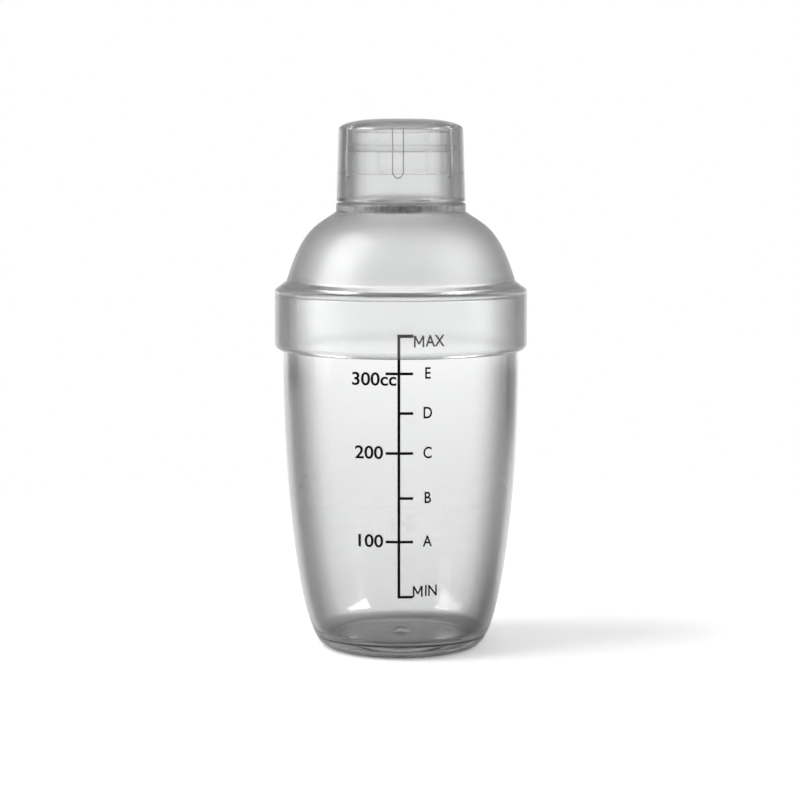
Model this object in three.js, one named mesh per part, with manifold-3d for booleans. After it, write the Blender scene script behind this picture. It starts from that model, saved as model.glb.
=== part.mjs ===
// Clear plastic cocktail shaker: a tapered cup, a domed strainer lid whose skirt slips over the
// cup's rim, and a grooved cap over the lid's neck. A flat gasket closes the joint at the cup's rim
// and a round ring closes the joint at the neck.
// Millimetres, +Z up, with the origin at the centre of the foot, on the surface the cup stands on.

import * as THREE from "three";
import { mergeVertices } from "three/addons/utils/BufferGeometryUtils.js";
import Module from "manifold-3d";

// Cup, measured outside unless its name says otherwise
const CUP_HEIGHT = 115.6;
const CUP_MOUTH_RADIUS = 38.25;
const CUP_STRAIGHT = 23.6; // upright stretch of the wall, below the rim
const CUP_WALL = 1.8;
const CUP_RIM_ROUND = 0.6;
const WALL_LOW_HANDLE = 15.7; // how long the wall keeps the slope of the heel
const WALL_HIGH_HANDLE = 26; // how long the wall keeps upright, going down
const HEEL_RADIUS = 6;
const HEEL_TURN = 60; // degrees from the flat foot to the start of the wall
const FOOT_RADIUS = 22.5;
const FOOT_WIDTH = 2.1;
const FOOT_RECESS = 1.6;
const FLOOR_THICKNESS = 2.9;
const FLOOR_FILLET = 4.5;
const GATE_RADIUS = 3.2; // the moulding mark in the middle of the floor
const GATE_HEIGHT = 1.6;

// Joint between the cup and the lid
const SKIRT_CLEARANCE = 0.3;
const SEAT_GAP = 0.05;
const GASKET_THICKNESS = 1;
const GASKET_WIDTH = 2.6;
const GASKET_LIP = 0.35; // ledge that shows inside the gasket

// Strainer lid
const SKIRT_WALL = 2.35;
const SKIRT_DEPTH = 19.2;
const SKIRT_EDGE_HEIGHT = 2.2; // the rounded lower edge of the skirt
const SKIRT_LEAD_IN = 0.25;
const BAND_ROUND = 1.2; // the band's upper edge
const LEDGE_SLOPE = 36; // degrees above level
const LEDGE_WALL = 1.6;
const LEDGE_FILLET = 1.6;
const DOME_HEIGHT = 25.4; // from the gasket's seat to the foot of the collar
const DOME_INSET = 1.65; // the foot of the dome, inside the skirt's bore
const DOME_FOOT_ANGLE = 107; // direction of the dome's outline, in degrees
const DOME_TOP_ANGLE = 143;
const DOME_FOOT_HANDLE = 18.1;
const DOME_TOP_HANDLE = 7.1;
const DOME_WALL = 2;
const COLLAR_LIP = 0.15; // the collar stands out this far past the cap's rim
const COLLAR_HEIGHT = 3;
const COLLAR_ROUND = 1;
const NECK_BORE_RADIUS = 14.3;
const NECK_WALL = 2.9;
const NECK_HEADROOM = 0.7; // from the neck's rim up to the edge of the cap's ceiling
const NECK_FILLET = 1.2;
const NECK_RIM_ROUND = 0.6;

// Strainer plate across the foot of the neck
const STRAINER_DROP = 0.5; // below the top of the collar
const STRAINER_THICKNESS = 2.2;
const STRAINER_FILLET = 0.8;
const HOLE_RADIUS = 1.5;
const HOLE_MARGIN = 4.5; // from the neck's bore to the middles of the outermost holes
const HOLE_RINGS = 2; // around the hole in the middle
const HOLES_ADDED_PER_RING = 6;

// Round ring in the neck's groove
const RING_SECTION = 2.2;
const RING_FROM_RIM = 5.3;
const RING_CLEARANCE = 0.08; // to the bore of the cap
const RING_GROOVE_GAP = 0.05;
const RING_GROOVE_SIDE_GAP = 0.1;

// Cap
const CAP_SEAT_GAP = 0.3;
const CAP_HEIGHT = 26.6;
const CAP_CROWN_WIDTH = 14.5;
const CAP_CROWN_HEIGHT = 3.5;
const CAP_TOP_THICKNESS = 2.4;
const CAP_CLEARANCE = 1.05; // between the neck and the bore of the cap
const CAP_BORE_STEP = 0.25; // the bore is wider by this below the step
const CAP_STEP_HEIGHT = 8.9; // the step, above the cap's rim
const CAP_RIM_WALL = 2.35;
const CAP_SHOULDER_WALL = 1.9;
const CAP_LEAD_IN = 1;
const CAP_RIM_ROUND = 0.4;
const CEILING_CROWN_WIDTH = 8;
const CEILING_CROWN_HEIGHT = 1.2;

// Finger grooves down the side of the cap
const GROOVE_COUNT = 7;
const GROOVE_WIDTH = 3.8;
const GROOVE_DEPTH = 0.7;
const GROOVE_FROM_RIM = 7.3;
const GROOVE_TURN = -2.7; // degrees from the front to the first groove

// Facets
const ROUND_SEGMENTS = 48;
const HOLE_SEGMENTS = 12;
const LONG_CURVE_STEPS = 10;
const ARC_STEPS = 4;
const SMALL_ARC_STEPS = 3;
const CROWN_STEPS = 7;
const SECTION_STEPS = 10;
const FILLET_SEARCHES = 40;

const radians = THREE.MathUtils.degToRad;
const at = (radius, height) => new THREE.Vector2(radius, height);

const wasm = await Module();
wasm.setup();

// A geometry of shared positions only, without the triangles that collapse on the axis.
function welded(geometry) {
  const bare = geometry.clone();
  bare.deleteAttribute("normal");
  bare.deleteAttribute("uv");
  const merged = mergeVertices(bare);
  const corners = merged.index.array;
  const kept = [];
  for (let i = 0; i < corners.length; i += 3) {
    const [a, b, c] = corners.slice(i, i + 3);
    if (a !== b && b !== c && c !== a) kept.push(a, b, c);
  }
  merged.setIndex(kept);
  return merged;
}

function solidOf(geometry) {
  const closed = welded(geometry);
  return new wasm.Manifold(
    new wasm.Mesh({
      numProp: 3,
      vertProperties: new Float32Array(closed.attributes.position.array),
      triVerts: new Uint32Array(closed.index.array),
    }),
  );
}

function geometryOf(solid) {
  const mesh = solid.getMesh();
  const geometry = new THREE.BufferGeometry();
  geometry.setAttribute("position", new THREE.BufferAttribute(mesh.vertProperties, 3));
  geometry.setIndex(new THREE.BufferAttribute(mesh.triVerts, 1));
  geometry.computeVertexNormals();
  return geometry;
}

function cutAway(geometry, cutters) {
  const cut = cutters.reduce((left, cutter) => left.subtract(solidOf(cutter)), solidOf(geometry));
  return geometryOf(cut);
}

// Turns an outline of (radius, height) points about the Z axis. The outline runs outwards along the
// underside, up the outside and back inwards along the top.
function turned(outline) {
  const geometry = welded(new THREE.LatheGeometry(outline, ROUND_SEGMENTS));
  geometry.rotateX(Math.PI / 2);
  geometry.computeVertexNormals();
  return geometry;
}

// Points on an ellipse, or on a circle where only one radius is given, from one angle to another.
function arc(centre, [across, up = across], from, to, steps = ARC_STEPS) {
  return Array.from({ length: steps + 1 }, (_, i) => {
    const angle = radians(from + ((to - from) * i) / steps);
    return at(centre.x + across * Math.cos(angle), centre.y + up * Math.sin(angle));
  });
}

// Over an upright wall's rim, from its outer face to its inner face, with both edges rounded.
function rimOutline(bore, radius, height, round) {
  return [
    ...arc(at(radius - round, height - round), [round], 0, 90, SMALL_ARC_STEPS),
    ...arc(at(bore + round, height - round), [round], 90, 180, SMALL_ARC_STEPS),
  ];
}

const heading = (degrees) => at(Math.cos(radians(degrees)), Math.sin(radians(degrees)));

// A smooth outline that leaves one point and arrives at another in given directions.
function sweep(start, startAngle, startHandle, end, endAngle, endHandle) {
  const leaving = start.clone().addScaledVector(heading(startAngle), startHandle);
  const arriving = end.clone().addScaledVector(heading(endAngle), -endHandle);
  return new THREE.CubicBezierCurve(start, leaving, arriving, end);
}

// The direction square to a curve, on its left as the curve is followed.
function leftOf(curve, t) {
  const along = curve.getTangent(t);
  return at(-along.y, along.x);
}

// A curve moved sideways to its left, from parameter t to the end.
function besideCurve(curve, distance, from = 0) {
  return Array.from({ length: LONG_CURVE_STEPS + 1 }, (_, i) => {
    const t = from + ((1 - from) * i) / LONG_CURVE_STEPS;
    return curve.getPoint(t).addScaledVector(leftOf(curve, t), distance);
  });
}

// The domed moulding mark, from its edge to its middle.
function gateMark(base) {
  const sphere = (GATE_RADIUS ** 2 + GATE_HEIGHT ** 2) / (2 * GATE_HEIGHT);
  const edgeAngle = THREE.MathUtils.radToDeg(Math.acos(GATE_RADIUS / sphere));
  const points = arc(at(0, base + GATE_HEIGHT - sphere), [sphere], edgeAngle, 90);
  points.at(-1).x = 0;
  return points;
}

// Cup

const cupBore = CUP_MOUTH_RADIUS - CUP_WALL;
const floorTop = FOOT_RECESS + FLOOR_THICKNESS;

const heelCentre = at(FOOT_RADIUS, HEEL_RADIUS);
const heel = arc(heelCentre, [HEEL_RADIUS], -90, HEEL_TURN - 90);
const wall = sweep(
  heel.at(-1),
  HEEL_TURN,
  WALL_LOW_HANDLE,
  at(CUP_MOUTH_RADIUS, CUP_HEIGHT - CUP_STRAIGHT),
  90,
  WALL_HIGH_HANDLE,
);

// Where along the wall a round fillet meets both the inner face of the wall and the floor.
function filletMeetsWall() {
  let low = 0;
  let high = 1;
  for (let i = 0; i < FILLET_SEARCHES; i += 1) {
    const middle = (low + high) / 2;
    const centre = wall.getPoint(middle).addScaledVector(leftOf(wall, middle), CUP_WALL + FLOOR_FILLET);
    if (centre.y < floorTop + FLOOR_FILLET) low = middle;
    else high = middle;
  }
  return low;
}

function cupGeometry() {
  const filletAt = filletMeetsWall();
  const towardsWall = leftOf(wall, filletAt).negate();
  const filletCentre = wall.getPoint(filletAt).addScaledVector(towardsWall, -CUP_WALL - FLOOR_FILLET);
  const filletEnd = THREE.MathUtils.radToDeg(Math.atan2(towardsWall.y, towardsWall.x));
  const footInside = FOOT_RADIUS - FOOT_WIDTH;
  return turned([
    at(0, FOOT_RECESS),
    at(footInside - FOOT_RECESS / 4, FOOT_RECESS),
    at(footInside, 0),
    ...heel,
    ...wall.getPoints(LONG_CURVE_STEPS).slice(1),
    ...rimOutline(cupBore, CUP_MOUTH_RADIUS, CUP_HEIGHT, CUP_RIM_ROUND),
    ...besideCurve(wall, CUP_WALL, filletAt).reverse(),
    ...arc(filletCentre, [FLOOR_FILLET], filletEnd, -90).slice(1),
    ...gateMark(floorTop),
  ]);
}

// Strainer lid, from the seat of the gasket

const skirtBore = CUP_MOUTH_RADIUS + SKIRT_CLEARANCE;
const skirtRadius = skirtBore + SKIRT_WALL;
const gasketRadius = skirtBore - SEAT_GAP;
const gasketBore = gasketRadius - GASKET_WIDTH;
const lidSeat = CUP_HEIGHT + SEAT_GAP + GASKET_THICKNESS + SEAT_GAP;

const neckRadius = NECK_BORE_RADIUS + NECK_WALL;
const capBore = neckRadius + CAP_CLEARANCE;
const capWideBore = capBore + CAP_BORE_STEP;
const capRimRadius = capWideBore + CAP_RIM_WALL;
const collarRadius = capRimRadius + COLLAR_LIP;

const collarTop = DOME_HEIGHT + COLLAR_HEIGHT;
const capSeat = collarTop + CAP_SEAT_GAP;
const ceiling = CAP_HEIGHT - CAP_TOP_THICKNESS; // above the cap's seat
const neckRim = capSeat + ceiling - CEILING_CROWN_HEIGHT - NECK_HEADROOM;
const strainerTop = collarTop - STRAINER_DROP;
const strainerUnderside = strainerTop - STRAINER_THICKNESS;

const ringRadius = capBore - RING_CLEARANCE - RING_SECTION / 2;
const ringHeight = neckRim - RING_FROM_RIM;
const ringGrooveRadius = ringRadius - RING_SECTION / 2 - RING_GROOVE_GAP;
const ringGrooveHalf = RING_SECTION / 2 + RING_GROOVE_SIDE_GAP;

// The band's upper edge, set so that the sloping ledge keeps its wall over the gasket's seat.
function bandEdgeCentre() {
  const square = heading(90 - LEDGE_SLOPE);
  const radius = skirtRadius - BAND_ROUND;
  const height = (square.x * (skirtBore - radius) + LEDGE_WALL - BAND_ROUND) / square.y;
  return at(radius, height);
}

// The ledge's outline: round over the band's edge, slope up, and turn into the foot of the dome.
function ledgeOutline() {
  const upSlope = 180 - LEDGE_SLOPE;
  const edge = arc(bandEdgeCentre(), [BAND_ROUND], 0, 90 - LEDGE_SLOPE);
  const turn = arc(at(0, 0), [LEDGE_FILLET], upSlope + 90, DOME_FOOT_ANGLE + 90);
  const domeFoot = turn.at(-1);
  const shift = skirtBore - DOME_INSET - domeFoot.x;
  const run = edge.at(-1).x - (turn[0].x + shift);
  const rise = edge.at(-1).y + run * Math.tan(radians(LEDGE_SLOPE)) - turn[0].y;
  turn.forEach((point) => point.add(at(shift, rise)));
  return [...edge, ...turn];
}

const ledge = ledgeOutline();
const dome = sweep(
  ledge.at(-1),
  DOME_FOOT_ANGLE,
  DOME_FOOT_HANDLE,
  at(collarRadius, DOME_HEIGHT),
  DOME_TOP_ANGLE,
  DOME_TOP_HANDLE,
);

function skirtOutline() {
  const foot = -SKIRT_DEPTH;
  const edgeWidth = SKIRT_WALL - SKIRT_LEAD_IN;
  const edgeCentre = at(skirtRadius - edgeWidth, foot + SKIRT_EDGE_HEIGHT);
  return [
    at(skirtBore, 0),
    at(skirtBore, foot + SKIRT_LEAD_IN),
    ...arc(edgeCentre, [edgeWidth, SKIRT_EDGE_HEIGHT], -90, 0),
  ];
}

function neckOutline() {
  const fillet = Math.min(NECK_FILLET, collarRadius - COLLAR_ROUND - neckRadius);
  return [
    ...arc(
      at(collarRadius - COLLAR_ROUND, collarTop - COLLAR_ROUND),
      [COLLAR_ROUND],
      0,
      90,
      SMALL_ARC_STEPS,
    ),
    ...arc(at(neckRadius + fillet, collarTop + fillet), [fillet], 270, 180),
    at(neckRadius, ringHeight - ringGrooveHalf),
    at(ringGrooveRadius, ringHeight - ringGrooveHalf),
    at(ringGrooveRadius, ringHeight + ringGrooveHalf),
    at(neckRadius, ringHeight + ringGrooveHalf),
    ...rimOutline(NECK_BORE_RADIUS, neckRadius, neckRim, NECK_RIM_ROUND),
    ...arc(
      at(NECK_BORE_RADIUS - STRAINER_FILLET, strainerTop + STRAINER_FILLET),
      [STRAINER_FILLET],
      0,
      -90,
      SMALL_ARC_STEPS,
    ),
  ];
}

function strainerHoles() {
  const hole = new THREE.CylinderGeometry(HOLE_RADIUS, HOLE_RADIUS, STRAINER_THICKNESS * 2, HOLE_SEGMENTS);
  hole.rotateX(Math.PI / 2);
  hole.translate(0, 0, (strainerTop + strainerUnderside) / 2);
  const holes = [hole];
  for (let ring = 1; ring <= HOLE_RINGS; ring += 1) {
    const count = ring * HOLES_ADDED_PER_RING;
    const reach = (ring * (NECK_BORE_RADIUS - HOLE_MARGIN)) / HOLE_RINGS;
    for (let i = 0; i < count; i += 1) {
      const angle = (2 * Math.PI * i) / count;
      holes.push(hole.clone().translate(reach * Math.sin(angle), -reach * Math.cos(angle), 0));
    }
  }
  return holes;
}

function strainerLidGeometry() {
  const body = turned([
    at(0, strainerUnderside),
    at(neckRadius, strainerUnderside),
    ...besideCurve(dome, DOME_WALL).reverse(),
    at(gasketBore - GASKET_LIP, 0),
    ...skirtOutline(),
    ...ledge,
    ...dome.getPoints(LONG_CURVE_STEPS).slice(1),
    ...neckOutline(),
    at(0, strainerTop),
  ]);
  return cutAway(body, strainerHoles());
}

function gasketGeometry() {
  const bottom = -SEAT_GAP - GASKET_THICKNESS;
  return turned([
    at(gasketBore, bottom),
    at(gasketRadius, bottom),
    at(gasketRadius, -SEAT_GAP),
    at(gasketBore, -SEAT_GAP),
    at(gasketBore, bottom),
  ]);
}

function neckRingGeometry() {
  return turned(arc(at(ringRadius, 0), [RING_SECTION / 2], 0, 360, SECTION_STEPS));
}

// Cap, from its rim

const capShoulderRadius = capBore + CAP_SHOULDER_WALL;
const crownFoot = CAP_HEIGHT - CAP_CROWN_HEIGHT;

function fingerGrooves() {
  const half = GROOVE_WIDTH / 2;
  const length = CAP_HEIGHT - GROOVE_FROM_RIM;
  const outline = new THREE.Shape();
  outline.moveTo(half, length);
  outline.lineTo(-half, length);
  outline.lineTo(-half, half);
  outline.absarc(0, half, half, Math.PI, 2 * Math.PI, false);
  outline.closePath();
  const cutter = new THREE.ExtrudeGeometry(outline, {
    depth: capRimRadius,
    bevelEnabled: false,
    curveSegments: ARC_STEPS,
  });
  const draft = Math.atan2(capRimRadius - capShoulderRadius, crownFoot);
  const floorRadius = capRimRadius - GROOVE_FROM_RIM * Math.tan(draft) - GROOVE_DEPTH;
  cutter.rotateX(Math.PI / 2 - draft);
  cutter.translate(0, -floorRadius, GROOVE_FROM_RIM);
  return Array.from({ length: GROOVE_COUNT }, (_, i) => {
    const turn = radians(GROOVE_TURN) + (2 * Math.PI * i) / GROOVE_COUNT;
    return cutter.clone().rotateZ(turn);
  });
}

function capGeometry() {
  const ceilingCentre = at(capBore - CEILING_CROWN_WIDTH, ceiling - CEILING_CROWN_HEIGHT);
  const crownCentre = at(capShoulderRadius - CAP_CROWN_WIDTH, crownFoot);
  const body = turned([
    at(0, ceiling),
    ...arc(ceilingCentre, [CEILING_CROWN_WIDTH, CEILING_CROWN_HEIGHT], 90, 0, CROWN_STEPS),
    at(capBore, CAP_STEP_HEIGHT + CAP_BORE_STEP),
    at(capWideBore, CAP_STEP_HEIGHT),
    at(capWideBore, CAP_LEAD_IN),
    at(capWideBore + CAP_LEAD_IN, 0),
    ...arc(at(capRimRadius - CAP_RIM_ROUND, CAP_RIM_ROUND), [CAP_RIM_ROUND], -90, 0, SMALL_ARC_STEPS),
    ...arc(crownCentre, [CAP_CROWN_WIDTH, CAP_CROWN_HEIGHT], 0, 90, CROWN_STEPS),
    at(0, CAP_HEIGHT),
  ]);
  return cutAway(body, fingerGrooves());
}

// Assembly

function clearPlastic() {
  return new THREE.MeshStandardMaterial({
    color: 0xd3d5d6,
    roughness: 0.06,
    metalness: 0,
    transparent: true,
    opacity: 0.35,
  });
}

function clearSilicone() {
  return new THREE.MeshStandardMaterial({
    color: 0xe6e7e6,
    roughness: 0.35,
    metalness: 0,
    transparent: true,
    opacity: 0.6,
  });
}

function piece(name, geometry, material) {
  const mesh = new THREE.Mesh(geometry, material);
  mesh.name = name;
  return mesh;
}

const neckRing = piece("neck_ring", neckRingGeometry(), clearSilicone());
neckRing.position.z = ringHeight;

const cap = piece("cap", capGeometry(), clearPlastic());
cap.position.z = capSeat;

const lid = new THREE.Group();
lid.position.z = lidSeat;
lid.add(piece("strainer_lid", strainerLidGeometry(), clearPlastic()));
lid.add(piece("lid_gasket", gasketGeometry(), clearSilicone()));
lid.add(neckRing, cap);

const shaker = new THREE.Group();
shaker.add(piece("cup", cupGeometry(), clearPlastic()), lid);

export default shaker;
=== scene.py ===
import math

import bmesh
import bpy
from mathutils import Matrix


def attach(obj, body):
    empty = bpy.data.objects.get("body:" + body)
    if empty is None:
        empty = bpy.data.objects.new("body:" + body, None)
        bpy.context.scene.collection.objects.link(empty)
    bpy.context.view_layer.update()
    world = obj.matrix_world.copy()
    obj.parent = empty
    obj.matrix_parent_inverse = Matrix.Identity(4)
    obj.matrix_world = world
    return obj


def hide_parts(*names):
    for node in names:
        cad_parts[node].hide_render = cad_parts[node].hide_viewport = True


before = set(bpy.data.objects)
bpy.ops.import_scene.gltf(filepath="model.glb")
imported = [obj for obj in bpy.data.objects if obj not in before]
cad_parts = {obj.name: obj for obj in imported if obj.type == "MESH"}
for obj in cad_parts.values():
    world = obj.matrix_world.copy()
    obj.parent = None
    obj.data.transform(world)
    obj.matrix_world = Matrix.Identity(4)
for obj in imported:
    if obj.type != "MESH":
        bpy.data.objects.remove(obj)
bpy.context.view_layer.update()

# A clear plastic cocktail shaker: cup with a printed measuring scale, strainer lid and grooved cap.
# Sizes are in millimetres until a piece is made; Blender's own unit is the metre.
MM = 0.001

# Cup
CUP_HEIGHT = 115.6
CUP_MOUTH_RADIUS = 38.25
CUP_STRAIGHT = 23.6
CUP_WALL = 1.8
CUP_RIM_ROUND = 0.6
WALL_LOW_HANDLE = 15.7
WALL_HIGH_HANDLE = 26
HEEL_RADIUS = 6
HEEL_TURN = 60
FOOT_RADIUS = 22.5
FOOT_WIDTH = 2.1
FOOT_RECESS = 1.6
FOOT_RECESS_DRAFT = 0.25
FLOOR_THICKNESS = 2.9
FLOOR_FILLET = 4.5
GATE_RADIUS = 3.2
GATE_HEIGHT = 1.6

# Strainer lid
SKIRT_CLEARANCE = 0.3
SEAT_GAP = 0.05
GASKET_THICKNESS = 1
GASKET_WIDTH = 2.6
GASKET_LIP = 0.35
GASKET_ROUND = 0.2
SKIRT_WALL = 2.35
SKIRT_DEPTH = 19.2
SKIRT_EDGE_HEIGHT = 2.2
SKIRT_LEAD_IN = 0.25
BAND_ROUND = 1.2
LEDGE_SLOPE = 36
LEDGE_WALL = 1.6
LEDGE_FILLET = 1.6
DOME_HEIGHT = 25.4
DOME_INSET = 1.65
DOME_FOOT_ANGLE = 107
DOME_TOP_ANGLE = 143
DOME_FOOT_HANDLE = 18.1
DOME_TOP_HANDLE = 7.1
DOME_WALL = 2
COLLAR_LIP = 0.15
COLLAR_HEIGHT = 3
COLLAR_ROUND = 1
NECK_BORE_RADIUS = 14.3
NECK_WALL = 2.9
NECK_HEADROOM = 0.7
NECK_FILLET = 1.2
NECK_RIM_ROUND = 0.6
STRAINER_DROP = 0.5
STRAINER_THICKNESS = 2.2
STRAINER_FILLET = 0.8
HOLE_RADIUS = 1.5
HOLE_CHAMFER = 0.2
HOLE_MARGIN = 4.5
HOLE_PICK_RADIUS = 2.25
HOLE_RINGS = 2
HOLES_ADDED_PER_RING = 6
RING_SECTION = 2.2
RING_FROM_RIM = 5.3
RING_CLEARANCE = 0.08
RING_GROOVE_GAP = 0.05
RING_GROOVE_SIDE_GAP = 0.1

# Cap
CAP_SEAT_GAP = 0.3
CAP_HEIGHT = 26.6
CAP_CROWN_WIDTH = 14.5
CAP_CROWN_HEIGHT = 3.5
CAP_TOP_THICKNESS = 2.4
CAP_CLEARANCE = 1.05
CAP_BORE_STEP = 0.25
CAP_STEP_HEIGHT = 8.9
CAP_RIM_WALL = 2.35
CAP_SHOULDER_WALL = 1.9
CAP_LEAD_IN = 1
CAP_RIM_ROUND = 0.4
CEILING_CROWN_WIDTH = 8
CEILING_CROWN_HEIGHT = 1.2
GROOVE_COUNT = 7
GROOVE_WIDTH = 3.8
GROOVE_DEPTH = 0.7
GROOVE_SIDE_SLANT = 0.35
GROOVE_FROM_RIM = 7.3
GROOVE_TURN = -2.7
GROOVE_OVERRUN = 2
GROOVE_END_ROUND = 0.999

# Printed measuring scale on the front of the cup
SCALE_LINE_PLACE = -0.65
SCALE_LINE_WIDTH = 0.9
SCALE_TOP = 104.9
SCALE_FOOT = 21.8
TICK_THICKNESS = 0.85
TOP_TICK_THICKNESS = 1.05
TICK_RIGHT_REACH = 3.8
TICK_LEFT_REACH = -4.8
STEP_HEIGHTS = {"A": 39.8, "B": 53.8, "C": 68.1, "D": 80.7, "E": 93.1}
VOLUME_TICKS = (39.8, 68.1, 93.1)
VOLUMES = (("100", -10, 39.8), ("200", -10, 68.1), ("300cc", -8.4, 91.2))
LETTER_PLACE = 8.3
LETTER_SIZE = 5.1
LETTER_NARROW = 0.8
LETTER_WEIGHT = 0.07
LETTER_STROKE = 0.5
M_WIDTH = 2.6
M_HEIGHT = 3.6
M_DIP = 2.6
MAX_PLACE = (4.2, 103.2)
MIN_PLACE = (4.0, 23.6)
WORD_GAP = 0.75
NUMERAL_SIZE = 5.7
NUMERAL_NARROW = 1.05
NUMERAL_WEIGHT = 0.1
INK_GAP = 0.015
INK_THICKNESS = 0.04

# Fineness of the meshes
TURN_STEPS = 144
CURVE_STEPS = 40
ARC_STEPS = 12
SMALL_ARC_STEPS = 6
CROWN_STEPS = 24
HOLE_STEPS = 32
SECTION_STEPS = 24
LINE_CUTS = 40
TICK_CUTS = 6
STROKE_CUTS = 4
WORD_CUTS = 2
FILLET_SEARCHES = 40

# Limits for holding, picking, smoothing and welding; WELD is in metres
LONG_RUN = 5
HOLD = 0.2
NEAR = 0.01
SQUARE_ON = 0.9
SMOOTH_ANGLE = 32
WELD = 1e-6

# Camera, solved from the photograph
CAMERA_PLACE = (-0.0003, -0.8027, 0.1699)
CAMERA_PITCH = 6.34
CAMERA_LENS = 111.4
SENSOR_WIDTH = 36
CLIP_START = 0.01

# Soft windows of light: bearing from the front, elevation, half width, half height, soft edge, strength
WINDOWS = (
    (-76, 29, 16, 10, 6, 5),
    (80, 40, 20, 14, 12, 0.95),
)
# Cards that only shine on the outside of the plastic
SIDE_CARDS = (
    (-76, 53, 16, 8, 6, 5),
    (-82, 1, 9, 6, 3, 0.9),
    (-82, -2, 28, 0.7, 0.5, 9),
    (78, -2, 12, 0.7, 0.5, 4),
)
# Cards that are only seen through the plastic
HIGH_CARDS = (
    (-66, 32.5, 10, 4.5, 2, 12),
    (67, 29.5, 16, 7.5, 2, 12),
)
# Dark flags beside the backdrop, which darken the edges of the plastic
FLAGS = (
    (-134, 1, 12, 6, 3, 0.55),
    (140, -1, 12, 6, 4, 0.45),
)
LEAST_AHEAD = 0.01

# The plain surroundings: what lights matt things, and what the plastic shows low down and overhead
AMBIENT = 0.55
BACKDROP = 1.03
CEILING = 0.55
CEILING_FROM = 3
CEILING_TO = 12
# The front of the studio is darker for what is mirrored in the plastic
FRONT_SHADE = 0.45
FRONT_FROM = -0.8
FRONT_TO = -0.2
WHITE = (1, 1, 1, 1)

# Floor, in metres
FLOOR_RADIUS = 0.4
FLOOR_STEPS = 96
FLOOR_FADE = (0.12, 0.38)
FLOOR_GRAIN = {"Scale": 60, "Detail": 4}
FLOOR_TONES = ((0.88, 0.88, 0.88, 1), (0.92, 0.92, 0.92, 1))
FLOOR_GLOW = 0.25

# How often light may bend or bounce on its way through the walls
MOST_BOUNCES = 32
MOST_GLOSSY_BOUNCES = 24

# Painted shade on each plastic, in zones from the bottom up: greys in its colour darken it where a ray
# meets it at a slant, for dark edges and a dark base. A zone gives the heights between which it takes
# over from the one below, and its greys by the slant of a ray: 0 is square on, 1 is along the surface.
CUP_PAINTED_SHADE_ZONES = (
    # Foot and floor: painted shade, dark as if shaded from beneath
    ((0, 0), ((0, 0.43), (0.2, 0.43), (0.28, 0.42), (0.5, 0.38), (0.65, 0.28), (0.75, 0.2), (1, 0.15))),
    (
        (4.5, 5.5),
        ((0, 0.82), (0.15, 0.81), (0.22, 0.78), (0.3, 0.68), (0.37, 0.5), (0.45, 0.34), (0.6, 0.16),
         (0.7, 0.17), (0.85, 0.25), (1, 0.35)),
    ),
    (
        (22, 98),
        ((0, 0.985), (0.1, 0.98), (0.15, 0.96), (0.2, 0.95), (0.25, 0.93), (0.3, 0.86),
         (0.35, 0.75), (0.4, 0.6), (0.45, 0.47), (0.5, 0.36), (0.55, 0.23), (0.6, 0.16),
         (0.7, 0.15), (0.85, 0.2), (1, 0.35)),
    ),
    ((90, 99), ((0, 1), (0.3, 1), (0.4, 0.86), (0.5, 0.66), (0.6, 0.46), (0.75, 0.4), (1, 0.45))),
)
LID_PAINTED_SHADE_ZONES = (
    ((0, 0), ((0, 0.97), (0.38, 0.97), (0.45, 0.85), (0.56, 0.6), (0.65, 0.4), (0.75, 0.28), (1, 0.3))),
    ((115.6, 116.4), ((0, 1), (0.6, 0.95), (1, 0.9))),
    ((116.5, 116.9), ((0, 1), (0.1, 0.95), (0.22, 0.45), (1, 0.3))),
    ((118.0, 118.5), ((0, 1), (0.34, 1), (0.4, 0.6), (0.45, 0.35), (0.6, 0.3), (1, 0.3))),
    (
        (119.5, 122),
        ((0, 0.95), (0.15, 0.96), (0.33, 0.99), (0.42, 0.9), (0.5, 0.8), (0.6, 0.64),
         (0.7, 0.5), (1, 0.36)),
    ),
    # Collar: painted shade, darkest across its middle where a ray meets it square on
    (
        (141.8, 142.4),
        ((0, 0.3), (0.04, 0.4), (0.09, 0.95), (0.15, 1), (0.5, 1), (0.7, 0.6), (1, 0.4)),
    ),
    ((145.2, 145.8), ((0, 1), (0.5, 0.95), (0.7, 0.8), (1, 0.7))),
)
# Rougher or clearer bands of the lid: lower and upper height, soft edge, roughness, reach from the axis
LID_BANDS = (
    (120.5, 140.5, 1, 0.3, 50),
    (141.3, 145, 0.5, 0.26, 50),
    (141.3, 145, 0.5, 0.65, 16.5),
    (145.3, 170, 0.3, 0.15, 50),
)
CAP_PAINTED_SHADE_ZONES = (
    ((0, 0), ((0, 0.92), (0.16, 0.91), (0.22, 0.84), (0.3, 0.62), (0.42, 0.44), (0.5, 0.26), (0.6, 0.14),
              (0.75, 0.17), (1, 0.28))),
)

# How much light each plastic takes on the way through it, and how rough it is
CUP_DENSITY = 15
LID_DENSITY = 15
CAP_DENSITY = 10
CUP_HAZE = 0.015
LID_HAZE = 0.2
CAP_HAZE = 0.05
CLEAREST_SHARE = 0.7
PLASTIC_IOR = 1.575
PLASTIC_DEPTH_COLOUR = (0.49, 0.5, 0.5, 1)
RED_SHARE = 0.997
EVEN_FACING = 0.5

# Moulded surfaces: scale of the flow marks, scale of the specks, strength and depth of the bump
PLASTIC_SURFACE = (40, 900, 0.04, 0.0004)
SILICONE_SURFACE = (200, 1500, 0.08, 0.0002)
FLOW_NOISE = {"Detail": 3, "Roughness": 0.5}
SPECK_NOISE = {"Detail": 2, "Roughness": 0.6}
SPECK_SHARE = 0.35
NOISE_RANGE = (0.3, 0.7)

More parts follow.
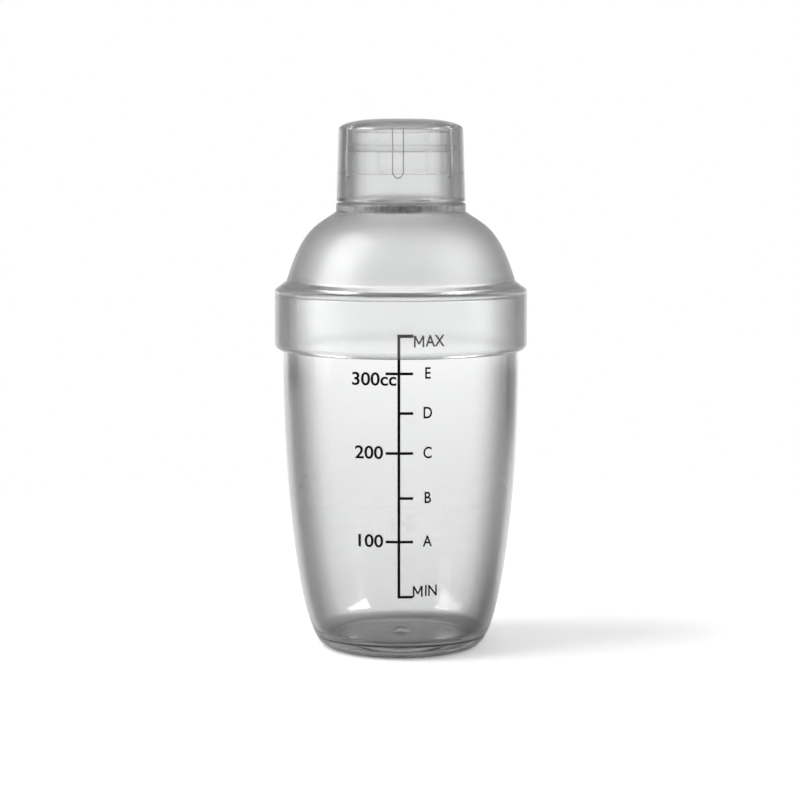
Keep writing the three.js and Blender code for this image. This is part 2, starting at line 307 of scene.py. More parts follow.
# Silicone and ink
SILICONE_IOR = 1.12
SILICONE_GLOSS = (0.25, 0.4)
SILICONE_TONES = ((0.9, 0.905, 0.9, 1), (0.97, 0.97, 0.965, 1))
INK_GRAIN = {"Scale": 1800, "Detail": 3}
INK_GLOSS = (0.35, 0.6)
INK_TONES = ((0.001, 0.001, 0.001, 1), (0.006, 0.006, 0.006, 1))
INK_IOR = 1.5
INK_SHINE = 0.05

# Sockets of a Mix node that is set to colours
MIX_FIRST_COLOUR = 6
MIX_SECOND_COLOUR = 7
MIX_COLOUR_OUT = 2


# Outlines: lists of (radius, height) points


def heading(degrees):
    return math.cos(math.radians(degrees)), math.sin(math.radians(degrees))


def arc(centre, radii, start, end, steps=ARC_STEPS):
    points = []
    for i in range(steps + 1):
        across, up = heading(start + (end - start) * i / steps)
        points.append((centre[0] + radii[0] * across, centre[1] + radii[1] * up))
    return points


def round_arc(centre, radius, start, end, steps=ARC_STEPS):
    return arc(centre, (radius, radius), start, end, steps)


def raised(outline, height):
    return [(radius, z + height) for radius, z in outline]


def sweep(start, start_angle, start_handle, end, end_angle, end_handle):
    """Four control points of a smooth curve with a set direction at each end."""
    leave = heading(start_angle)
    arrive = heading(end_angle)
    return (
        start,
        (start[0] + leave[0] * start_handle, start[1] + leave[1] * start_handle),
        (end[0] - arrive[0] * end_handle, end[1] - arrive[1] * end_handle),
        end,
    )


def sweep_point(curve, t):
    weights = ((1 - t) ** 3, 3 * t * (1 - t) ** 2, 3 * t * t * (1 - t), t**3)
    return tuple(sum(w * p[axis] for w, p in zip(weights, curve)) for axis in (0, 1))


def sweep_left(curve, t):
    """The direction square to the curve, on its left."""
    steps = [(b[0] - a[0], b[1] - a[1]) for a, b in zip(curve, curve[1:])]
    weights = ((1 - t) ** 2, 2 * t * (1 - t), t * t)
    along = [sum(w * s[axis] for w, s in zip(weights, steps)) for axis in (0, 1)]
    length = math.hypot(*along)
    return -along[1] / length, along[0] / length


def beside(curve, t, distance):
    point = sweep_point(curve, t)
    left = sweep_left(curve, t)
    return point[0] + left[0] * distance, point[1] + left[1] * distance


def sweep_points(curve, distance=0, first=0):
    spread = [first + (1 - first) * i / CURVE_STEPS for i in range(CURVE_STEPS + 1)]
    return [beside(curve, t, distance) for t in spread]


def rim_outline(bore, radius, height, edge):
    outer = round_arc((radius - edge, height - edge), edge, 0, 90, SMALL_ARC_STEPS)
    inner = round_arc((bore + edge, height - edge), edge, 90, 180, SMALL_ARC_STEPS)
    return outer + inner


def gate_mark(base):
    """The low domed moulding mark in the middle of the floor, from its edge to its middle."""
    sphere = (GATE_RADIUS**2 + GATE_HEIGHT**2) / (2 * GATE_HEIGHT)
    edge = math.degrees(math.acos(GATE_RADIUS / sphere))
    points = round_arc((0, base + GATE_HEIGHT - sphere), sphere, edge, 90)
    return points[:-1] + [(0, base + GATE_HEIGHT)]


# Cup

cup_bore = CUP_MOUTH_RADIUS - CUP_WALL
floor_top = FOOT_RECESS + FLOOR_THICKNESS
heel = round_arc((FOOT_RADIUS, HEEL_RADIUS), HEEL_RADIUS, -90, HEEL_TURN - 90)
wall = sweep(
    heel[-1],
    HEEL_TURN,
    WALL_LOW_HANDLE,
    (CUP_MOUTH_RADIUS, CUP_HEIGHT - CUP_STRAIGHT),
    90,
    WALL_HIGH_HANDLE,
)


def fillet_on_wall():
    """Where along the wall the round at the edge of the floor meets it."""
    low, high = 0.0, 1.0
    for _ in range(FILLET_SEARCHES):
        middle = (low + high) / 2
        if beside(wall, middle, CUP_WALL + FLOOR_FILLET)[1] < floor_top + FLOOR_FILLET:
            low = middle
        else:
            high = middle
    return low


def cup_outline():
    start = fillet_on_wall()
    left = sweep_left(wall, start)
    centre = beside(wall, start, CUP_WALL + FLOOR_FILLET)
    fillet_start = math.degrees(math.atan2(-left[1], -left[0]))
    foot_inside = FOOT_RADIUS - FOOT_WIDTH
    return [
        (0, FOOT_RECESS),
        (foot_inside - FOOT_RECESS * FOOT_RECESS_DRAFT, FOOT_RECESS),
        (foot_inside, 0),
        *heel,
        *sweep_points(wall)[1:],
        *rim_outline(cup_bore, CUP_MOUTH_RADIUS, CUP_HEIGHT, CUP_RIM_ROUND),
        *reversed(sweep_points(wall, CUP_WALL, start)),
        *round_arc(centre, FLOOR_FILLET, fillet_start, -90)[1:],
        *gate_mark(floor_top),
    ]


# Strainer lid, from the seat of the gasket

skirt_bore = CUP_MOUTH_RADIUS + SKIRT_CLEARANCE
skirt_radius = skirt_bore + SKIRT_WALL
gasket_radius = skirt_bore - SEAT_GAP
gasket_bore = gasket_radius - GASKET_WIDTH
lid_seat = CUP_HEIGHT + GASKET_THICKNESS + 2 * SEAT_GAP
neck_radius = NECK_BORE_RADIUS + NECK_WALL
cap_bore = neck_radius + CAP_CLEARANCE
cap_wide_bore = cap_bore + CAP_BORE_STEP
cap_rim_radius = cap_wide_bore + CAP_RIM_WALL
collar_radius = cap_rim_radius + COLLAR_LIP
collar_top = DOME_HEIGHT + COLLAR_HEIGHT
cap_seat = collar_top + CAP_SEAT_GAP
cap_ceiling = CAP_HEIGHT - CAP_TOP_THICKNESS
neck_rim = cap_seat + cap_ceiling - CEILING_CROWN_HEIGHT - NECK_HEADROOM
strainer_top = collar_top - STRAINER_DROP
strainer_underside = strainer_top - STRAINER_THICKNESS
ring_radius = cap_bore - RING_CLEARANCE - RING_SECTION / 2
ring_height = neck_rim - RING_FROM_RIM


def ledge_outline():
    """Over the band's upper edge, up the sloping ledge and into the foot of the dome."""
    square = heading(90 - LEDGE_SLOPE)
    radius = skirt_radius - BAND_ROUND
    height = (square[0] * (skirt_bore - radius) + LEDGE_WALL - BAND_ROUND) / square[1]
    edge = round_arc((radius, height), BAND_ROUND, 0, 90 - LEDGE_SLOPE)
    turn = round_arc((0, 0), LEDGE_FILLET, 270 - LEDGE_SLOPE, DOME_FOOT_ANGLE + 90)
    shift = skirt_bore - DOME_INSET - turn[-1][0]
    run = edge[-1][0] - turn[0][0] - shift
    rise = edge[-1][1] + run * math.tan(math.radians(LEDGE_SLOPE)) - turn[0][1]
    return edge + [(r + shift, z + rise) for r, z in turn]


ledge = ledge_outline()
dome = sweep(
    ledge[-1],
    DOME_FOOT_ANGLE,
    DOME_FOOT_HANDLE,
    (collar_radius, DOME_HEIGHT),
    DOME_TOP_ANGLE,
    DOME_TOP_HANDLE,
)


def skirt_outline():
    edge_width = SKIRT_WALL - SKIRT_LEAD_IN
    edge_centre = (skirt_radius - edge_width, SKIRT_EDGE_HEIGHT - SKIRT_DEPTH)
    return [
        (skirt_bore, 0),
        (skirt_bore, SKIRT_LEAD_IN - SKIRT_DEPTH),
        *arc(edge_centre, (edge_width, SKIRT_EDGE_HEIGHT), -90, 0),
    ]


def collar_outline():
    fillet = min(NECK_FILLET, collar_radius - COLLAR_ROUND - neck_radius)
    edge = (collar_radius - COLLAR_ROUND, collar_top - COLLAR_ROUND)
    return [
        (collar_radius, edge[1] - HOLD),
        *round_arc(edge, COLLAR_ROUND, 0, 90, SMALL_ARC_STEPS),
        *round_arc((neck_radius + fillet, collar_top + fillet), fillet, 270, 180),
    ]


def neck_outline():
    groove_radius = ring_radius - RING_SECTION / 2 - RING_GROOVE_GAP
    groove_half = RING_SECTION / 2 + RING_GROOVE_SIDE_GAP
    corner = (NECK_BORE_RADIUS - STRAINER_FILLET, strainer_top + STRAINER_FILLET)
    return [
        (neck_radius, ring_height - groove_half),
        (groove_radius, ring_height - groove_half),
        (groove_radius, ring_height + groove_half),
        (neck_radius, ring_height + groove_half),
        *rim_outline(NECK_BORE_RADIUS, neck_radius, neck_rim, NECK_RIM_ROUND),
        *round_arc(corner, STRAINER_FILLET, 0, -90, SMALL_ARC_STEPS),
    ]


def strainer_lid_outline():
    return [
        (0, strainer_underside),
        (neck_radius, strainer_underside),
        *reversed(sweep_points(dome, DOME_WALL)),
        (gasket_bore - GASKET_LIP, 0),
        *skirt_outline(),
        *ledge,
        *sweep_points(dome)[1:],
        *collar_outline(),
        *neck_outline(),
        (0, strainer_top),
    ]


def gasket_outline():
    bottom = -SEAT_GAP - GASKET_THICKNESS + GASKET_ROUND
    top = -SEAT_GAP - GASKET_ROUND
    inside = gasket_bore + GASKET_ROUND
    outside = gasket_radius - GASKET_ROUND
    loop = [
        *round_arc((inside, bottom), GASKET_ROUND, 180, 270, SMALL_ARC_STEPS),
        *round_arc((outside, bottom), GASKET_ROUND, 270, 360, SMALL_ARC_STEPS),
        *round_arc((outside, top), GASKET_ROUND, 0, 90, SMALL_ARC_STEPS),
        *round_arc((inside, top), GASKET_ROUND, 90, 180, SMALL_ARC_STEPS),
    ]
    return loop + loop[:1]


# Cap, from its rim

cap_shoulder_radius = cap_bore + CAP_SHOULDER_WALL
crown_foot = CAP_HEIGHT - CAP_CROWN_HEIGHT


def cap_outline():
    ceiling_centre = (cap_bore - CEILING_CROWN_WIDTH, cap_ceiling - CEILING_CROWN_HEIGHT)
    ceiling_radii = (CEILING_CROWN_WIDTH, CEILING_CROWN_HEIGHT)
    crown_centre = (cap_shoulder_radius - CAP_CROWN_WIDTH, crown_foot)
    rim_centre = (cap_rim_radius - CAP_RIM_ROUND, CAP_RIM_ROUND)
    return [
        (0, cap_ceiling),
        *arc(ceiling_centre, ceiling_radii, 90, 0, CROWN_STEPS),
        (cap_bore, CAP_STEP_HEIGHT + CAP_BORE_STEP),
        (cap_wide_bore, CAP_STEP_HEIGHT),
        (cap_wide_bore, CAP_LEAD_IN),
        (cap_wide_bore + CAP_LEAD_IN, 0),
        *round_arc(rim_centre, CAP_RIM_ROUND, -90, 0, SMALL_ARC_STEPS),
        *arc(crown_centre, (CAP_CROWN_WIDTH, CAP_CROWN_HEIGHT), 0, 90, CROWN_STEPS),
        (0, CAP_HEIGHT),
    ]


# Modelling


def choose(piece):
    """Makes the piece the one that is selected and active."""
    bpy.ops.object.select_all(action="DESELECT")
    piece.select_set(True)
    bpy.context.view_layer.objects.active = piece


def edit(piece):
    choose(piece)
    bpy.ops.object.mode_set(mode="EDIT")
    bpy.ops.mesh.select_all(action="SELECT")


def leave_edit():
    bpy.ops.object.mode_set(mode="OBJECT")


def face_outwards():
    """Turns all faces outwards, in edit mode, and leaves it."""
    bpy.ops.mesh.select_all(action="SELECT")
    bpy.ops.mesh.normals_make_consistent(inside=False)
    leave_edit()


def copy_around(count):
    """Copies what is selected, in edit mode, evenly about the upright axis."""
    bpy.ops.mesh.spin(
        steps=count - 1,
        dupli=True,
        angle=2 * math.pi * (count - 1) / count,
        center=(0, 0, 0),
        axis=(0, 0, 1),
    )


def settle(piece):
    """Puts the piece's place into its mesh, so that its object sits at the origin."""
    choose(piece)
    bpy.ops.object.transform_apply(location=True, rotation=True, scale=True)


def pick_faces(piece, wanted):
    """Selects, in edit mode, the faces whose middle and normal pass a test."""
    bpy.ops.mesh.select_all(action="DESELECT")
    mesh = bmesh.from_edit_mesh(piece.data)
    for face in mesh.faces:
        if wanted(face.calc_center_median(), face.normal):
            face.select_set(True)
    bmesh.update_edit_mesh(piece.data)


def pick_edges(piece, wanted):
    """Selects, in edit mode, the edges whose two ends pass a test."""
    bpy.ops.mesh.select_all(action="DESELECT")
    mesh = bmesh.from_edit_mesh(piece.data)
    for side in mesh.edges:
        if wanted(side.verts[0].co, side.verts[1].co):
            side.select_set(True)
    bmesh.update_edit_mesh(piece.data)


def held(outline):
    """Adds a point near each end of a long straight run, so that it is shaded as straight."""
    points = [outline[0]]
    for start, end in zip(outline, outline[1:]):
        length = math.hypot(end[0] - start[0], end[1] - start[1])
        if length > LONG_RUN:
            for share in (HOLD / length, 1 - HOLD / length):
                points.append(tuple(a + (b - a) * share for a, b in zip(start, end)))
        points.append(end)
    return points


def turned(name, outline):
    """Draws an outline with one vertex and spins it about the upright axis."""
    outline = held(outline)
    bpy.ops.object.select_all(action="DESELECT")
    radius, height = outline[0]
    bpy.ops.mesh.primitive_plane_add(size=MM, location=(radius * MM, 0, height * MM))
    piece = bpy.context.object
    piece.name = name
    settle(piece)
    edit(piece)
    bpy.ops.mesh.merge(type="CENTER")
    for before, after in zip(outline, outline[1:]):
        step = ((after[0] - before[0]) * MM, 0, (after[1] - before[1]) * MM)
        bpy.ops.mesh.extrude_region_move(TRANSFORM_OT_translate={"value": step})
    bpy.ops.mesh.select_all(action="SELECT")
    bpy.ops.mesh.spin(steps=TURN_STEPS, angle=2 * math.pi, center=(0, 0, 0), axis=(0, 0, 1))
    bpy.ops.mesh.select_all(action="SELECT")
    bpy.ops.mesh.remove_doubles(threshold=WELD)
    face_outwards()
    return piece


def cut(piece, cutter):
    """Takes the cutter's shape out of the piece, and removes the cutter."""
    modifier = piece.modifiers.new("cut", "BOOLEAN")
    modifier.operation = "DIFFERENCE"
    modifier.solver = "EXACT"
    modifier.object = cutter
    choose(piece)
    bpy.ops.object.modifier_apply(modifier=modifier.name)
    bpy.data.objects.remove(cutter)


def dress(piece, material):
    """Gives the piece its one material."""
    piece.data.materials.clear()
    piece.data.materials.append(material)


def finish_piece(piece, material, body, node):
    choose(piece)
    bpy.ops.object.shade_smooth_by_angle(angle=math.radians(SMOOTH_ANGLE))
    dress(piece, material)
    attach(piece, body)
    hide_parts(node)


def strainer_holes():
    """The cutter for the strainer: one hole with chamfered edges, copied into rings."""
    middle = (lid_seat + (strainer_top + strainer_underside) / 2) * MM
    depth = (STRAINER_THICKNESS - 2 * HOLE_CHAMFER) * MM
    flare = 2 * HOLE_CHAMFER * MM
    bpy.ops.object.select_all(action="DESELECT")
    bpy.ops.mesh.primitive_cylinder_add(
        vertices=HOLE_STEPS, radius=HOLE_RADIUS * MM, depth=depth, location=(0, 0, middle)
    )
    cutter = bpy.context.object
    settle(cutter)
    edit(cutter)
    widening = 1 + 2 * HOLE_CHAMFER / HOLE_RADIUS
    for side in (1, -1):
        pick_faces(cutter, lambda place, normal: normal.z * side > SQUARE_ON)
        bpy.ops.mesh.extrude_region_move(TRANSFORM_OT_translate={"value": (0, 0, side * flare)})
        bpy.ops.transform.resize(value=(widening, widening, 1), center_override=(0, 0, middle))
    for ring in range(1, HOLE_RINGS + 1):
        count = ring * HOLES_ADDED_PER_RING
        reach = ring * (NECK_BORE_RADIUS - HOLE_MARGIN) / HOLE_RINGS * MM
        pick_faces(cutter, lambda place, normal: math.hypot(place.x, place.y) < HOLE_PICK_RADIUS * MM)
        bpy.ops.mesh.duplicate_move(TRANSFORM_OT_translate={"value": (0, -reach, 0)})
        copy_around(count)
    face_outwards()
    return cutter


def finger_grooves():
    """The cutter for the cap: one round-ended bar leaning with the cap's side, copied around."""
    seat = lid_seat + cap_seat
    draft = math.atan2(cap_rim_radius - cap_shoulder_radius, crown_foot)
    floor_radius = cap_rim_radius - GROOVE_FROM_RIM * math.tan(draft) - GROOVE_DEPTH
    length = CAP_HEIGHT - GROOVE_FROM_RIM + GROOVE_OVERRUN
    thickness = 2 * GROOVE_DEPTH
    wide = GROOVE_WIDTH + 2 * GROOVE_SIDE_SLANT
    foot = seat + GROOVE_FROM_RIM
    bpy.ops.object.select_all(action="DESELECT")
    bpy.ops.mesh.primitive_cube_add(
        size=1,
        location=(0, -(floor_radius + thickness / 2) * MM, (foot + length / 2) * MM),
        scale=(wide * MM, thickness * MM, length * MM),
    )
    cutter = bpy.context.object
    settle(cutter)
    edit(cutter)
    low = (foot + NEAR) * MM
    pick_edges(cutter, lambda a, b: a.z < low and b.z < low and abs(a.x - b.x) < WELD)
    end_round = wide / 2 * MM * GROOVE_END_ROUND
    bpy.ops.mesh.bevel(offset=end_round, segments=2 * ARC_STEPS, affect="EDGES")
    pick_faces(cutter, lambda place, normal: normal.y > SQUARE_ON)
    narrowing = 1 - 4 * GROOVE_SIDE_SLANT / wide
    shortening = 1 - 2 * GROOVE_SIDE_SLANT / length
    bpy.ops.transform.resize(
        value=(narrowing, 1, shortening),
        center_override=(0, -floor_radius * MM, (foot + length) * MM),
    )
    bpy.ops.mesh.select_all(action="SELECT")
    bpy.ops.transform.rotate(
        value=draft, orient_axis="X", center_override=(0, -floor_radius * MM, foot * MM)
    )
    bpy.ops.transform.rotate(
        value=math.radians(-GROOVE_TURN), orient_axis="Z", center_override=(0, 0, 0)
    )
    copy_around(GROOVE_COUNT)
    face_outwards()
    return cutter


# Printed scale


def bar(left, right, foot, top, cuts, lean=0.0):
    """A flat strip in front of the cup, cut across so that it can follow the wall."""
    bpy.ops.object.select_all(action="DESELECT")
    bpy.ops.mesh.primitive_plane_add(
        size=1,
        location=((left + right) / 2 * MM, -skirt_radius * MM, (foot + top) / 2 * MM),
        rotation=(math.pi / 2, lean, 0),
    )
    strip = bpy.context.object
    strip.scale = ((right - left) * MM, (top - foot) * MM, 1)
    settle(strip)
    edit(strip)
    bpy.ops.mesh.subdivide(number_cuts=cuts)
    leave_edit()
    return strip


def words(text, size, weight, narrow, place, height, side):
    """A word in front of the cup, as a mesh of small faces."""
    bpy.ops.object.select_all(action="DESELECT")
    bpy.ops.object.text_add(
        location=(place * MM, -skirt_radius * MM, height * MM), rotation=(math.pi / 2, 0, 0)
    )
    word = bpy.context.object
    word.data.body = text
    word.data.size = size * MM
    word.data.offset = weight * MM
    word.data.align_x = side
    word.data.align_y = "CENTER"
    bpy.ops.object.convert(target="MESH")
    word = bpy.context.object
    word.scale = (narrow, 1, 1)
    settle(word)
    edit(word)
    bpy.ops.mesh.quads_convert_to_tris()
    bpy.ops.mesh.subdivide(number_cuts=WORD_CUTS)
    bpy.ops.mesh.remove_doubles(threshold=WELD)
    leave_edit()
    return word


def letter_m(left, middle):
    """The letter M as four straight strokes."""
    half = LETTER_STROKE / 2
    foot = middle - M_HEIGHT / 2
    top = middle + M_HEIGHT / 2
    strokes = [bar(x - half, x + half, foot, top, STROKE_CUTS) for x in (left, left + M_WIDTH)]
    reach = math.hypot(M_DIP, M_WIDTH / 2) / 2
    lean = math.atan2(M_WIDTH / 2, M_DIP)
    height = top - M_DIP / 2
    for x, side in ((left + M_WIDTH / 4, -1), (left + M_WIDTH * 3 / 4, 1)):
        slanted = bar(x - half, x + half, height - reach, height + reach, STROKE_CUTS, side * lean)
        strokes.append(slanted)
    return strokes


def scale_marks():
    """All strips and words of the scale, still flat."""
    line_left = SCALE_LINE_PLACE - SCALE_LINE_WIDTH / 2
    line_right = SCALE_LINE_PLACE + SCALE_LINE_WIDTH / 2
    half = TICK_THICKNESS / 2
    top_half = TOP_TICK_THICKNESS / 2
    marks = [bar(line_left, line_right, SCALE_FOOT - half, SCALE_TOP + top_half, LINE_CUTS)]
    top_tick = (SCALE_TOP - top_half, SCALE_TOP + top_half, TICK_CUTS)
    marks.append(bar(line_right, TICK_RIGHT_REACH, *top_tick))
    for height in (SCALE_FOOT, *STEP_HEIGHTS.values()):
        marks.append(bar(line_right, TICK_RIGHT_REACH, height - half, height + half, TICK_CUTS))
    for height in VOLUME_TICKS:
        marks.append(bar(TICK_LEFT_REACH, line_left, height - half, height + half, TICK_CUTS))
    letter = (LETTER_SIZE, LETTER_WEIGHT, LETTER_NARROW)
    numeral = (NUMERAL_SIZE, NUMERAL_WEIGHT, NUMERAL_NARROW)
    for name, height in STEP_HEIGHTS.items():
        marks.append(words(name, *letter, LETTER_PLACE, height, "CENTER"))
    for name, place, height in VOLUMES:
        marks.append(words(name, *numeral, place, height, "CENTER"))
    for rest, (left, height) in (("AX", MAX_PLACE), ("IN", MIN_PLACE)):
        marks.extend(letter_m(left, height))
        marks.append(words(rest, *letter, left + M_WIDTH + WORD_GAP, height, "LEFT"))
    return marks


def measuring_scale(cup):
    """Lays the marks on the cup's wall as a thin skin of ink."""
    marks = scale_marks()
    bpy.ops.object.select_all(action="DESELECT")
    for mark in marks:
        mark.select_set(True)
    bpy.context.view_layer.objects.active = marks[0]
    bpy.ops.object.join()
    print_piece = bpy.context.object
    print_piece.name = "measuring_scale"
    lay = print_piece.modifiers.new("lay", "SHRINKWRAP")
    lay.target = cup
    lay.wrap_method = "PROJECT"
    lay.use_project_y = True
    lay.use_positive_direction = True
    lay.use_negative_direction = False
    lay.offset = INK_GAP * MM
    skin = print_piece.modifiers.new("skin", "SOLIDIFY")
    skin.thickness = INK_THICKNESS * MM
    skin.offset = 1
    for modifier in (lay.name, skin.name):
        bpy.ops.object.modifier_apply(modifier=modifier)
    return print_piece


# Materials


def new_material(name):
    material = bpy.data.materials.new(name)
    material.use_nodes = True
    material.node_tree.nodes.clear()
    return material, material.node_tree


def add(tree, kind, **inputs):
    """Adds a node and sets its inputs by name, with _ for a space."""
    made = tree.nodes.new(kind)
    for name, value in inputs.items():
        made.inputs[name.replace("_", " ")].default_value = value
    return made


def maths(tree, operation, a, b=0.0):
    """A Math node; each input is a number or a socket."""
    made = tree.nodes.new("ShaderNodeMath")
    made.operation = operation
    for socket, value in zip(made.inputs, (a, b)):
        if isinstance(value, (int, float)):
            socket.default_value = value
        else:
            tree.links.new(value, socket)
    return made.outputs["Value"]


def ranged(tree, value, low, high, start=0.0, end=1.0, kind="LINEAR"):
    """Takes a value from one range to another, and holds it at the ends."""
    made = add(tree, "ShaderNodeMapRange", From_Min=low, From_Max=high, To_Min=start, To_Max=end)
    made.interpolation_type = kind
    tree.links.new(value, made.inputs["Value"])
    return made.outputs["Result"]


def two_tones(tree, mask, tones):
    """A colour between two, by a noise mask."""
    ramp = add(tree, "ShaderNodeValToRGB")
    for mark, tone in zip(ramp.color_ramp.elements, tones):
        mark.color = tone
    tree.links.new(mask, ramp.inputs["Fac"])
    return ramp.outputs["Color"]


def mixed(tree, share, first, second):
    """A Mix Shader node between two shaders."""
    mix = add(tree, "ShaderNodeMixShader")
    for socket, value in zip(mix.inputs, (share, first, second)):
        tree.links.new(value, socket)
    return mix.outputs["Shader"]


def moulded_surface_group():
    """Flow marks and fine specks of a moulding: a haze mask and a height."""
    group = bpy.data.node_groups.new("moulded_surface", "ShaderNodeTree")
    face = group.interface
    face.new_socket("Vector", in_out="INPUT", socket_type="NodeSocketVector")
    face.new_socket("Flow Scale", in_out="INPUT", socket_type="NodeSocketFloat")
    face.new_socket("Speck Scale", in_out="INPUT", socket_type="NodeSocketFloat")
    face.new_socket("Haze", in_out="OUTPUT", socket_type="NodeSocketFloat")
    face.new_socket("Height", in_out="OUTPUT", socket_type="NodeSocketFloat")
    start = add(group, "NodeGroupInput")
    end = add(group, "NodeGroupOutput")
    flow = add(group, "ShaderNodeTexNoise", **FLOW_NOISE)
    specks = add(group, "ShaderNodeTexNoise", **SPECK_NOISE)
    haze = add(group, "ShaderNodeMix", Factor=SPECK_SHARE)
    link = group.links.new
    link(start.outputs["Vector"], flow.inputs["Vector"])
    link(start.outputs["Vector"], specks.inputs["Vector"])
    link(start.outputs["Flow Scale"], flow.inputs["Scale"])
    link(start.outputs["Speck Scale"], specks.inputs["Scale"])
    link(flow.outputs["Fac"], haze.inputs["A"])
    link(specks.outputs["Fac"], haze.inputs["B"])
    link(haze.outputs["Result"], end.inputs["Haze"])
    link(flow.outputs["Fac"], end.inputs["Height"])
    return group


surface_group = moulded_surface_group()


def moulded_surface(tree, flow_scale, speck_scale, strength, depth):
    """A place on the piece, the haze mask there and the bumped normal."""
    place = add(tree, "ShaderNodeTexCoord").outputs["Object"]
    surface = add(tree, "ShaderNodeGroup")
    surface.node_tree = surface_group
    surface.inputs["Flow Scale"].default_value = flow_scale
    surface.inputs["Speck Scale"].default_value = speck_scale
    bump = add(tree, "ShaderNodeBump", Strength=strength, Distance=depth)
    tree.links.new(place, surface.inputs["Vector"])
    tree.links.new(surface.outputs["Height"], bump.inputs["Height"])
    return place, surface.outputs["Haze"], bump.outputs["Normal"]


def painted_slant_shade(tree, facing, shade_stops):
    """Painted shade: a grey by the angle at which a ray meets the plastic, from (facing, grey) stops."""
    ramp = tree.nodes.new("ShaderNodeValToRGB")
    marks = ramp.color_ramp.elements
    while len(marks) < len(shade_stops):
        marks.new(0.5)
    for mark, (place, grey) in zip(marks, shade_stops):
        mark.position = place
        mark.color = (grey * RED_SHARE, grey, grey, 1)
    tree.links.new(facing, ramp.inputs["Fac"])
    return ramp.outputs["Color"]


def painted_shade_by_height(tree, height, facing, shade_zones):
    """Painted shade by slant, stacked by height."""
    colour = painted_slant_shade(tree, facing, shade_zones[0][1])
    for (low, high), shade_stops in shade_zones[1:]:
        mix = tree.nodes.new("ShaderNodeMix")
        mix.data_type = "RGBA"
        tree.links.new(ranged(tree, height, low * MM, high * MM), mix.inputs["Factor"])
        tree.links.new(colour, mix.inputs[MIX_FIRST_COLOUR])
        tree.links.new(painted_slant_shade(tree, facing, shade_stops), mix.inputs[MIX_SECOND_COLOUR])
        colour = mix.outputs[MIX_COLOUR_OUT]
    return colour


def axis_distance(tree, place):
    squares = [maths(tree, "MULTIPLY", place.outputs[axis], place.outputs[axis]) for axis in "XY"]
    return maths(tree, "SQRT", maths(tree, "ADD", *squares))


def haze_by_height(tree, place, base, bands):
    """A roughness of its own inside each (low, high, soft edge, roughness, reach) band."""
    value = base
    for low, high, soft, rough, reach in bands:
        half = (high - low) / 2 * MM
        middle = (low + high) / 2 * MM
        distance = maths(tree, "ABSOLUTE", maths(tree, "SUBTRACT", place.outputs["Z"], middle))
        level = ranged(tree, distance, half + soft * MM, half)
        within = ranged(tree, axis_distance(tree, place), (reach + soft) * MM, reach * MM)
        mix = add(tree, "ShaderNodeMix", B=rough)
        tree.links.new(maths(tree, "MULTIPLY", level, within), mix.inputs["Factor"])
        tree.links.new(value, mix.inputs["A"])
        value = mix.outputs["Result"]
    return value


def clear_plastic(name, density, haze, shade_zones, bands=()):
    """Smoky clear plastic, with painted shade in its colour that darkens it at a slant."""
    material, tree = new_material(name)
    link = tree.links.new
    place, mask, normal = moulded_surface(tree, *PLASTIC_SURFACE)
    parts = add(tree, "ShaderNodeSeparateXYZ")
    link(place, parts.inputs["Vector"])
    gloss = ranged(tree, mask, *NOISE_RANGE, haze * CLEAREST_SHARE, haze)
    slant = add(tree, "ShaderNodeLayerWeight", Blend=EVEN_FACING)
    # Painted shade: the base colour darkens where a ray meets the plastic at a slant
    painted_shade = painted_shade_by_height(tree, parts.outputs["Z"], slant.outputs["Facing"], shade_zones)
    shell = add(tree, "ShaderNodeBsdfPrincipled", IOR=PLASTIC_IOR, Transmission_Weight=1.0)
    link(painted_shade, shell.inputs["Base Color"])
    link(haze_by_height(tree, parts, gloss, bands), shell.inputs["Roughness"])
    link(normal, shell.inputs["Normal"])
    depth = add(tree, "ShaderNodeVolumeAbsorption", Color=PLASTIC_DEPTH_COLOUR, Density=density)
    output = add(tree, "ShaderNodeOutputMaterial")
    link(shell.outputs["BSDF"], output.inputs["Surface"])
    link(depth.outputs["Volume"], output.inputs["Volume"])
    return material


def clear_silicone(name):
    """Soft and squeezed against the plastic, so it hardly bends the light that crosses it."""
    material, tree = new_material(name)
    link = tree.links.new
    _, mask, normal = moulded_surface(tree, *SILICONE_SURFACE)
    shell = add(tree, "ShaderNodeBsdfPrincipled", IOR=SILICONE_IOR, Transmission_Weight=1.0)
    link(two_tones(tree, mask, SILICONE_TONES), shell.inputs["Base Color"])
    link(ranged(tree, mask, *NOISE_RANGE, *SILICONE_GLOSS), shell.inputs["Roughness"])
    link(normal, shell.inputs["Normal"])
    output = add(tree, "ShaderNodeOutputMaterial")
    link(shell.outputs["BSDF"], output.inputs["Surface"])
    return material


def printing_ink(name):
    """Black, with a fine grain and little shine."""
    material, tree = new_material(name)
    link = tree.links.new
    place = add(tree, "ShaderNodeTexCoord")
    noise = add(tree, "ShaderNodeTexNoise", **INK_GRAIN)
    link(place.outputs["Object"], noise.inputs["Vector"])
    grain = noise.outputs["Fac"]
    shell = add(tree, "ShaderNodeBsdfPrincipled", IOR=INK_IOR, Specular_IOR_Level=INK_SHINE)
    link(two_tones(tree, grain, INK_TONES), shell.inputs["Base Color"])
    link(ranged(tree, grain, *NOISE_RANGE, *INK_GLOSS), shell.inputs["Roughness"])
    output = add(tree, "ShaderNodeOutputMaterial")
    link(shell.outputs["BSDF"], output.inputs["Surface"])
    return material


# Studio


def camera():
    data = bpy.data.cameras.new("camera")
    data.lens = CAMERA_LENS
    data.sensor_width = SENSOR_WIDTH
    data.clip_start = CLIP_START
    view = bpy.data.objects.new("camera", data)
    view.location = CAMERA_PLACE
    view.rotation_euler = (math.radians(90 - CAMERA_PITCH), 0, 0)
    bpy.context.scene.collection.objects.link(view)
    bpy.context.scene.camera = view


